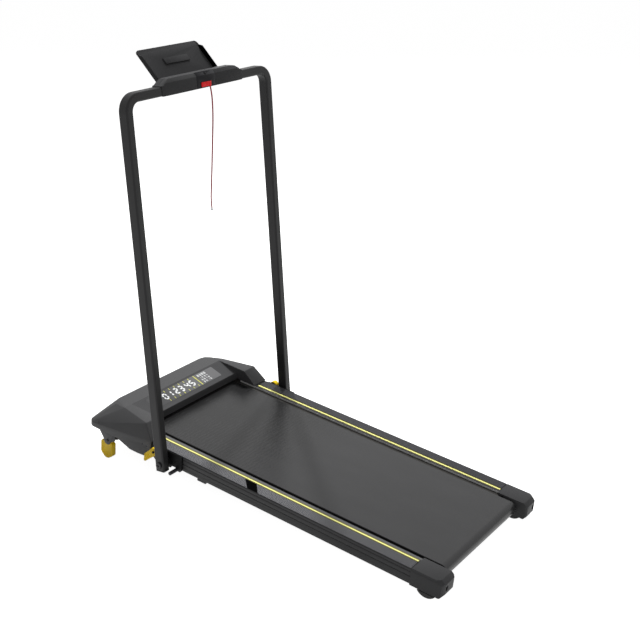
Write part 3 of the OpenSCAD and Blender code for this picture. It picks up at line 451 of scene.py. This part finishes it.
rail_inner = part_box("right_side_rail")[0].x
stripe_inner, stripe_outer = (corner.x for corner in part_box("right_stripe"))
sides = ("left", "right")
rail_grey = powder_coat("rail_grey", tone(26, 26, 27), tone(36, 36, 37))
rail_across = rail_grey.along(rail_grey.place(deck), "X")
left_lip = (rail_grey.steps(rail_across, -stripe_inner - 0.0009, -stripe_inner + 0.0001)
            * rail_grey.steps(0.0006 - rail_inner - rail_across, 0.0, 0.0006))
# painted light: the right rail's inner wall, in shade, is painted pale
right_wall_painted_light = (rail_grey.steps(rail_across, 0.0, 0.01)
              * rail_grey.steps(rail_inner + 0.0008 - rail_across, 0.0, 0.0006))
rail_grey.set({"Base Color": rail_grey.tint(left_lip * 0.28 + right_wall_painted_light, rail_grey.colour,
                                            tone(160, 160, 160))})
for side in sides:
    ease(f"{side}_side_rail", 0.0008, rail_grey, f"{side}_rail_extrusion")

yellow = Finish("stripe_yellow", {"Roughness": 0.4, "Specular IOR Level": 0.2})
stripe_across = yellow.along(yellow.place(deck), "X").maths("ABSOLUTE")
stripe_half = 0.0028
off_middle = (stripe_across - (stripe_inner + stripe_outer) / 2).maths("ABSOLUTE")
stripe_middle = yellow.steps(stripe_half - off_middle, 0.0, 0.0010)
stripe_scuffs = yellow.noise(yellow.place(deck, (300.0, 40.0, 300.0)), 1.0, 4.0)
yellow.set({"Base Color": yellow.tint(stripe_middle * 0.9 + stripe_scuffs * 0.1,
                                      tone(104, 94, 12), tone(244, 243, 156))})
yellow.relief(stripe_scuffs, 0.00004)
paint(yellow, "left_stripe", "right_stripe")

stippled = Finish("stippled_strip", {"Specular IOR Level": 0.14})
strip_place = stippled.place(deck)
dots = stippled.add("ShaderNodeTexVoronoi", {}, {
    "Vector": strip_place, "Scale": 205.0, "Randomness": 0.2})
bumps = 1.0 - stippled.steps(dots, 0.15, 0.55)
strip_dust = stippled.noise(strip_place, 30.0, 5.0)
strip_x = stippled.along(strip_place, "X")
strip_y = stippled.along(strip_place, "Y")
strip_middle = 0.248
patch_rear, patch_front = 0.5080, 0.5482
slant = (strip_x + strip_middle) * 0.9
# painted shade: the right grip strip is darker than the left
right_strip_painted_shade = stippled.steps(strip_x, 0.0, 0.01)
# a black patch across the left grip strip, without a reflection
black_patch = (stippled.steps(strip_y - slant, patch_rear, patch_rear + 0.0010)
        * stippled.steps(patch_front - (strip_y - slant * 1.1), 0.0, 0.0010)
        * stippled.steps(0.0 - strip_x, 0.0, 0.01))
# the dots and a dusty cloud, with the right strip's painted shade, darker towards the rear
dots_dust_and_shade = ((bumps * 0.8 + strip_dust * 0.2) * (1.0 - right_strip_painted_shade * 0.82)
         * (0.52 + stippled.steps(strip_y, 0.0, 0.5) * 0.48))
rubber = stippled.tint(dots_dust_and_shade, tone(50, 50, 52), tone(134, 134, 137))
stippled.set({"Base Color": stippled.tint(black_patch, rubber, tone(7, 7, 8)),
              "Metallic": black_patch, "Roughness": 0.6 + black_patch * 0.35})
stippled.relief(bumps * (1.0 - black_patch), 0.0004)
paint(stippled, "left_grip_strip", "right_grip_strip")

# ---------------------------------------------------------------- rear end caps and feet
# Moulded caps close the rails behind the belt, each with a window to its tension bolt. Each
# stands on a black rubber foot.
grained = Finish("grained_cap_plastic", {"Specular IOR Level": 0.16})
cap_cloud = grained.noise(grained.place(deck), 12.0, 4.0)
cap_grain = grained.noise(grained.place(deck), 1400.0, 2.0)
grained.set({"Base Color": grained.tint(cap_cloud, tone(46, 46, 47), tone(57, 57, 58)),
             "Roughness": 0.42 + cap_cloud * 0.16})
grained.relief(cap_grain, 0.00008)
for side in sides:
    ease(f"{side}_end_cap", 0.0016, grained, f"{side}_rear_cap", segments=3)
for side in sides:
    ease(f"{side}_rear_foot", 0.0012, soft_black, f"{side}_rear_pad")

# ---------------------------------------------------------------- motor bay
# A pressed pan under the hood holds the motor in its cradle, the control board with a finned
# aluminium heat sink, and the mains inlet with its rocker switch at the front.
paint(frame_black, "motor_pan")
motor_can = powder_coat("motor_can", tone(22, 23, 25), tone(30, 31, 34))
paint(motor_can, "motor_body")

drive_rubber = Finish("drive_belt_rubber", {"Roughness": 0.6})
drive_ribs = drive_rubber.add("ShaderNodeTexWave", {"bands_direction": "X"}, {
    "Vector": drive_rubber.place(deck), "Scale": 140.0})
drive_rubber.set({"Base Color": drive_rubber.tint(drive_ribs, tone(16, 16, 16), tone(36, 36, 37))})
drive_rubber.relief(drive_ribs, 0.0006)
paint(drive_rubber, "drive_belt")

laminate = Finish("board_laminate", {"Roughness": 0.36})
pads = laminate.add("ShaderNodeTexVoronoi", {"distance": "CHEBYCHEV"},
                    {"Vector": laminate.place(deck), "Scale": 240.0})
laminate.set({"Base Color": laminate.tint(laminate.steps(pads, 0.25, 0.32), tone(150, 150, 140),
                                          tone(20, 66, 36))})
laminate.relief(pads, 0.0002)
paint(laminate, "controller")

finned = Finish("fin_aluminium", {"Metallic": 1.0})
drawn = finned.noise(finned.place(deck, (3.0, 3.0, 700.0)), 1.0, 3.0)
finned.set({"Base Color": finned.tint(drawn, tone(176, 178, 181), tone(208, 210, 212)),
            "Roughness": 0.3 + drawn * 0.2})
paint(finned, "heat_sink")

glass_filled = Finish("inlet_nylon")
nylon = glass_filled.noise(glass_filled.place(deck), 900.0, 3.0)
glass_filled.set({"Base Color": glass_filled.tint(nylon, tone(20, 20, 21), tone(36, 36, 38)),
                  "Roughness": 0.36 + nylon * 0.2})
glass_filled.relief(nylon, 0.00006)
ease("power_inlet", 0.0004, glass_filled, "mains_socket")
ease("power_switch", 0.0004, glass_filled, "rocker_switch")

# ---------------------------------------------------------------- motor hood
# One wide ABS moulding with a fine spark-eroded grain, a flat back that slopes down to the
# user, and two arms that run back along the rails. Small screws hold it to the pan.
hood_abs = Finish("hood_grained_abs", {"Specular IOR Level": 0.2})
hood_place = hood_abs.place(deck)
hood_cloud = hood_abs.noise(hood_place, 7.0, 4.0)
hood_grain = hood_abs.add("ShaderNodeTexVoronoi", {"feature": "SMOOTH_F1"},
                          {"Vector": hood_place, "Scale": 1300.0})
hood_abs.set({"Base Color": hood_abs.tint(hood_cloud, tone(59, 59, 60), tone(70, 70, 71)),
              "Roughness": 0.4 + hood_cloud * 0.16})
hood_abs.relief(hood_grain, 0.0001)


ridge_lift = 0.003
corner_inward, corner_drop = 0.006, 0.0035


def crown(at):
    """Lifts the hood's front ridge and draws its top corners in, by a few millimetres."""
    spot = deck.inverted() @ at
    on_top_corner = abs(spot.x) > 0.215 and 1.020 < spot.y < 1.045 and spot.z > 0.030
    on_front_ridge = spot.y > 1.050 and spot.z > 0.005
    if on_top_corner:
        spot += Vector((math.copysign(corner_inward, -spot.x), 0.0, -corner_drop))
    elif on_front_ridge:
        spot.z += ridge_lift
    return deck @ spot


ease("hood", 0.0018, hood_abs, "motor_hood", sharp=12.0, segments=3, reshape=crown)

oxide = Finish("black_oxide", {"Metallic": 0.6})
oxide_cloud = oxide.noise(oxide.place(deck), 300.0, 3.0)
oxide.set({"Base Color": oxide.tint(oxide_cloud, tone(24, 24, 26), tone(46, 46, 50)),
           "Roughness": 0.3 + oxide_cloud * 0.2})
oxide.relief(oxide_cloud, 0.00004)
paint(oxide, "hood_screws")

# ---------------------------------------------------------------- display panel
# A satin polycarbonate label, stuck in a recess of the hood's slope and screen printed in
# raised ink: plain seven-segment figures, a bar, small figures and a row of ticks.
label = Finish("panel_polycarbonate", {"Specular IOR Level": 0.2})
label_grain = label.noise(label.place(deck), 800.0, 2.0)
label_cloud = label.noise(label.place(deck), 18.0, 3.0)
# painted sheen: the label is paler towards the right
label_painted_sheen = label.steps(label.along(label.place(deck), "X"), -0.13, 0.06)
label.set({"Base Color": label.tint(label_painted_sheen * 0.8 + label_cloud * 0.2,
                                    tone(68, 68, 69), tone(104, 104, 105)),
           "Roughness": 0.3 + label_grain * 0.12})
label.relief(label_grain, 0.00003)
paint(label, "display_panel")

slope_foot = (0, 0.956, 0.024)
slope_tilt = math.radians(14.78)
slope = deck @ Matrix.Translation(slope_foot) @ Matrix.Rotation(slope_tilt, 4, "X")
ink_middle = 0.00029
ink_thickness = 0.00018
ink_white = Finish("ink_white", {"Roughness": 0.45})
ink_grain = ink_white.noise(ink_white.place(deck), 600.0)
ink_white.set({"Base Color": ink_white.tint(ink_grain, tone(214, 216, 216), tone(236, 238, 238))})
ink_green = Finish("ink_yellow_green", {"Roughness": 0.45})
ink_green_grain = ink_green.noise(ink_green.place(deck), 600.0)
ink_green.set({"Base Color": ink_green.tint(ink_green_grain, tone(206, 206, 84),
                                            tone(222, 222, 104))})


def stroke(left, low, right, high, points=0.0):
    """One printed stroke, in millimetres on the slope; its ends may be cut to points."""
    bpy.ops.mesh.primitive_cube_add(size=1, location=(
        (left + right) / 2000, (low + high) / 2000, ink_middle),
        scale=((right - left) / 1000, (high - low) / 1000, ink_thickness))
    mark = bpy.context.object
    settle(mark)
    if points:
        bpy.ops.object.mode_set(mode="EDIT")
        bpy.ops.mesh.select_mode(type="EDGE")
        bpy.ops.mesh.select_all(action="DESELECT")
        bpy.ops.object.mode_set(mode="OBJECT")
        for edge in mark.data.edges:
            a, b = (mark.data.vertices[v].co for v in edge.vertices)
            edge.select = abs(a.z - b.z) > 0.0001
        bpy.ops.object.mode_set(mode="EDIT")
        bpy.ops.mesh.bevel(offset=points / 1000, segments=1)
        bpy.ops.object.mode_set(mode="OBJECT")
    return mark


def figure(digit, left, low, width, height, thick):
    """A seven-segment figure, as a row of strokes."""
    gap = thick * 0.12
    half = height / 2
    across = (left + thick * 0.5, left + width - thick * 0.5)
    levels = {"top": height - thick / 2, "middle": half, "bottom": thick / 2}
    lit = {"0": "top bottom nw ne sw se", "1": "ne se", "2": "top ne middle sw bottom",
           "3": "top ne middle se bottom", "4": "nw ne middle se", "5": "top nw middle se bottom",
           "6": "top nw middle sw se bottom", "7": "top ne se",
           "8": "top middle bottom nw ne sw se", "9": "top nw ne middle se bottom"}[digit].split()
    marks = [stroke(across[0] + gap, low + levels[name] - thick / 2,
                    across[1] - gap, low + levels[name] + thick / 2, thick * 0.49)
             for name in ("top", "middle", "bottom") if name in lit]
    for name in ("nw", "ne", "sw", "se"):
        if name in lit:
            x = left if name[1] == "w" else left + width - thick
            y = low + (half if name[0] == "n" else thick * 0.5)
            marks.append(stroke(x, y + gap, x + thick, y + half - thick * 0.5 - gap, thick * 0.49))
    return marks


def print_on(marks, name, finish):
    only(*marks)
    bpy.ops.object.join()
    marks[0].data.transform(slope)
    fit_out(marks[0], name, "base", None, finish)


# places in millimetres, across from the slope's middle and up from its foot
print_low, print_high = 19, 65
tick_width, tick_height, tick_pitch = 1.8, 8, 22
white_marks = []
for left, digit in zip((-95, -73, -45, -23, 5, 27), "012345"):
    white_marks += figure(digit, left, low=29, width=18, height=27, thick=5.4)
small_left, small_pitch = 76, 10
small_rows = (("8888", 52, 7.2, 10, 2.1), ("1234", 42, 6.2, 6.6, 1.5),
              ("5678", 32, 6.2, 6.6, 1.5), ("9012", 22, 6.2, 6.6, 1.5))
for digits, low, width, height, thick in small_rows:
    for column, digit in enumerate(digits):
        white_marks += figure(digit, small_left + column * small_pitch, low, width, height, thick)
print_on(white_marks, "printed_figures", ink_white)
green_marks = [stroke(61.6, print_low, 64.4, print_high)]
for tick in range(7):
    upper = -96 + tick * tick_pitch
    lower = upper + tick_pitch / 2
    green_marks.append(stroke(upper, print_high - tick_height, upper + tick_width, print_high))
    green_marks.append(stroke(lower, print_low, lower + tick_width, print_low + tick_height))
print_on(green_marks, "printed_bars", ink_green)

# ---------------------------------------------------------------- front legs and wheels
# Steel brackets under the motor pan carry yellow moulded legs, which fold on a pin, and black
# wheels that roll when the nose is tipped down.
paint(oxide, "leg_pins")
ease("leg_brackets", 0.0006, frame_black, "folded_leg_brackets")
signal_yellow = Finish("moulded_yellow", {"Roughness": 0.42, "Specular IOR Level": 0.2})
dye = signal_yellow.noise(signal_yellow.place(), 26.0, 4.0)
scuffs = signal_yellow.noise(signal_yellow.place(), 1000.0, 2.0)
signal_yellow.set({"Base Color": signal_yellow.tint(dye, tone(224, 186, 22), tone(236, 202, 40))})
signal_yellow.relief(scuffs, 0.00008)
for side in sides:
    ease(f"{side}_front_leg", 0.0014, signal_yellow, f"{side}_yellow_leg",
         segments=3)
for side in sides:
    ease(f"{side}_wheel", 0.0012, soft_black, f"{side}_roll_wheel")

# ---------------------------------------------------------------- folding pivots and locks
# Pressed cheeks on the rails' sides take the uprights' shoulder bolts. A yellow moulded lever
# locks each upright, and pegs below stop it when the handrail is folded down.
# The cheeks are painted nearer black than the frame, as painted shade.
cheek_painted_shade = powder_coat("cheek_painted_shade", tone(8, 8, 9), tone(14, 14, 15))
cheek_painted_shade.set({"Specular IOR Level": 0.08})
for side in sides:
    ease(f"{side}_pivot_bracket", 0.0006, cheek_painted_shade, f"{side}_pivot_cheek")
ease("pivot_bolts", 0.0004, frame_black, "shoulder_bolts")
ease("rest_pegs", 0.0005, frame_black, "stop_pegs")
for side in sides:
    ease(f"{side}_lock_lever", 0.0010, signal_yellow, f"{side}_yellow_lever",
         segments=3)

# ---------------------------------------------------------------- handrail
# One length of rectangular steel tube with rounded corners, bent twice into a wide U and
# powder coated. Plastic plugs close its lower ends.
lean_forward = math.radians(9.5)
handrail = (Matrix.Translation(pivots["handrail_fold"])
            @ Matrix.Rotation(incline - lean_forward, 4, "X"))
tube_grey = powder_coat("handrail_grey", tone(19, 19, 20), tone(27, 27, 28), 0.00008, handrail)
paint(tube_grey, "handrail_tube")
ease("tube_plugs", 0.0006, soft_black, "tube_end_plugs")

# ---------------------------------------------------------------- console housing
# Two ABS half shells closed round the crossbar, with a dark insert that holds the start button
# and the magnetic safety key.
console_abs = Finish("console_grained_abs", {"Specular IOR Level": 0.1})
console_cloud = console_abs.noise(console_abs.place(handrail), 16.0, 4.0)
console_grain = console_abs.add("ShaderNodeTexVoronoi", {"feature": "SMOOTH_F1"},
                                {"Vector": console_abs.place(handrail), "Scale": 1400.0})
console_abs.set({"Base Color": console_abs.tint(console_cloud, tone(52, 52, 53), tone(62, 62, 63)),
                 "Roughness": 0.4 + console_cloud * 0.18})
console_abs.relief(console_grain, 0.0001)
ease("console_rear_shell", 0.0014, console_abs, "console_user_half",
     segments=3)
ease("console_front_shell", 0.0014, console_abs, "console_far_half",
     segments=3)

insert_black = Finish("insert_satin_black", {"Specular IOR Level": 0.1})
insert_cloud = insert_black.noise(insert_black.place(handrail), 40.0, 3.0)
insert_black.set({"Base Color": insert_black.tint(insert_cloud, tone(34, 34, 36), tone(42, 42, 45)),
                  "Roughness": 0.22 + insert_cloud * 0.14})
ease("key_module", 0.0008, insert_black, "console_insert")
ease("start_button", 0.0003, insert_black, "round_start_button")

key_red = Finish("key_red_gloss", {"Specular IOR Level": 0.25})
key_flow = key_red.noise(key_red.place(handrail), 80.0, 3.0)
key_red.set({"Base Color": key_red.tint(key_flow, tone(250, 30, 36), tone(255, 60, 64)),
             "Roughness": 0.26 + key_flow * 0.14})
ease("safety_key", 0.0005, key_red, "red_key")

# ---------------------------------------------------------------- folding tray
# A thin ABS tray for a phone or a tablet, hinged on two pins in the console's front half. Its right side wall is
# painted black as painted shade.
tray_abs = Finish("tray_grained_abs", {"Specular IOR Level": 0.08})
rim_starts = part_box("tray")[1].x - 0.009
# painted shade: the tray's right side wall is black, without a reflection
tray_rim_painted_shade = tray_abs.steps(tray_abs.along(tray_abs.place(handrail), "X"),
                          rim_starts, rim_starts + 0.0006)
tray_cloud = tray_abs.noise(tray_abs.place(handrail), 14.0, 4.0)
tray_grain = tray_abs.noise(tray_abs.place(handrail), 1200.0, 2.0)
tray_abs.set({"Base Color": tray_abs.tint(
    tray_rim_painted_shade, tray_abs.tint(tray_cloud, tone(42, 42, 43), tone(52, 52, 53)), painted_shade_black),
    "Metallic": tray_rim_painted_shade, "Roughness": 0.38 + tray_cloud * 0.2})
tray_abs.relief(tray_grain, 0.0001)
ease("tray", 0.0010, tray_abs, "phone_tray", segments=3)
paint(oxide, "tray_pins")
